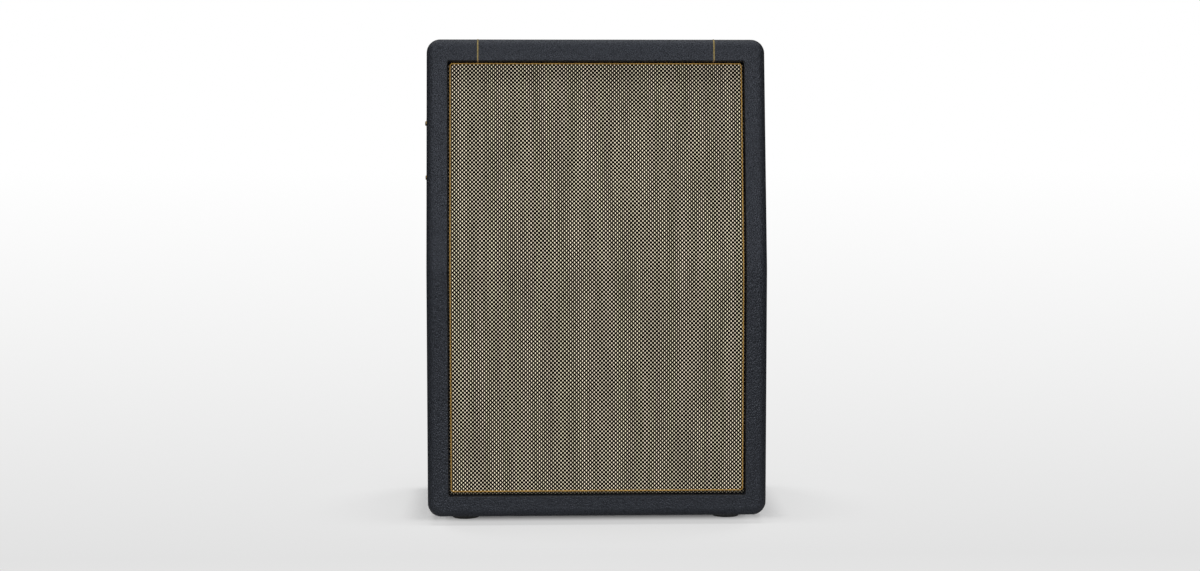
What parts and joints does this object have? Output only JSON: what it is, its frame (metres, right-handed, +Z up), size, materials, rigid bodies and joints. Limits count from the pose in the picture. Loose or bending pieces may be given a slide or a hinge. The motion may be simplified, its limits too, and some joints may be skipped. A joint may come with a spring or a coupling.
{
  "type": "guitar speaker cabinet",
  "caption": "Vertical guitar speaker cabinet with a slanted upper front, black vinyl covering, woven grille cloth, gold piping, recessed side handles and sprung speaker cones.",
  "frame": {"origin": "on the floor under the middle of the cabinet's footprint", "axes": "+X to the right of someone facing the grille, +Y from the front to the back, +Z up; the grille faces -Y"},
  "size_m": [0.5108, 0.3656, 0.7146],
  "materials": {
    "vinyl": "black levant-grain vinyl leathercloth, satin",
    "plywood": "raw birch plywood",
    "baffle_black": "plywood painted matt black on the front",
    "grille_weave": "black and cream woven grille cloth with gold flecks",
    "gold_bead": "gold woven-look plastic piping",
    "handle_black": "moulded black plastic, fine grain",
    "brass": "brass-plated screw heads and tags",
    "rubber_foot": "black moulded rubber",
    "plated_steel": "zinc or nickel plate",
    "nickel": "nickel plate",
    "basket_paint": "pressed steel, dark grey paint",
    "ferrite": "ferrite magnet",
    "cone_paper": "black-grey pulp paper",
    "treated_cloth": "resin-treated cloth",
    "copper_winding": "enamelled copper wire on a former",
    "gasket_card": "pressed card",
    "lead_sheath": "black flexible sheath",
    "vinyl_board": "plywood faced with the same black vinyl"
  },
  "bodies": {
    "cabinet": {"left_side_panel": "plywood", "right_side_panel": "plywood", "top_panel": "plywood", "bottom_panel": "plywood", "front_strip_left": "plywood", "front_strip_right": "plywood", "front_strip_top": "plywood", "front_strip_bottom": "plywood", "upper_baffle": "baffle_black", "lower_baffle": "baffle_black", "baffle_cleat": "plywood", "covering_wrap": "vinyl", "covering_top": "vinyl", "seam_piping_left": "gold_bead", "seam_piping_right": "gold_bead", "grille_cloth": "grille_weave", "grille_frame": "baffle_black", "grille_piping": "gold_bead", "handle_left": "handle_black", "handle_right": "handle_black", "handle_screws": "brass", "foot_front_left": "rubber_foot", "foot_front_right": "rubber_foot", "foot_rear_left": "rubber_foot", "foot_rear_right": "rubber_foot", "foot_washers": "plated_steel", "foot_screws": "plated_steel", "back_battens": "plywood", "back_panel": "vinyl_board", "back_cup_washers": "nickel", "back_panel_screws": "nickel", "jack_dish": "handle_black", "jack_socket": "handle_black", "jack_nut": "nickel", "speaker_screws": "plated_steel", "speaker_lead_lower": "lead_sheath", "speaker_lead_upper": "lead_sheath", "upper_basket": "basket_paint", "upper_gasket": "gasket_card", "upper_surround": "treated_cloth", "upper_spider": "treated_cloth", "upper_motor_plates": "plated_steel", "upper_magnet": "ferrite", "upper_terminals": "brass", "lower_basket": "basket_paint", "lower_gasket": "gasket_card", "lower_surround": "treated_cloth", "lower_spider": "treated_cloth", "lower_motor_plates": "plated_steel", "lower_magnet": "ferrite", "lower_terminals": "brass"},
    "upper_diaphragm": {"upper_cone": "cone_paper", "upper_dust_cap": "cone_paper", "upper_voice_coil": "copper_winding"},
    "lower_diaphragm": {"lower_cone": "cone_paper", "lower_dust_cap": "cone_paper", "lower_voice_coil": "copper_winding"}
  },
  "joints": [
    {"name": "upper_cone_travel", "type": "slide", "parent": "cabinet", "child": "upper_diaphragm", "axis": [0, -0.9848, 0.1736], "range_m": [-0.003, 0.003], "stiffness_N_per_m": 6000, "deforming": ["upper_surround", "upper_spider"]},
    {"name": "lower_cone_travel", "type": "slide", "parent": "cabinet", "child": "lower_diaphragm", "axis": [0, -1, 0], "range_m": [-0.003, 0.003], "stiffness_N_per_m": 6000, "deforming": ["lower_surround", "lower_spider"]}
  ]
}
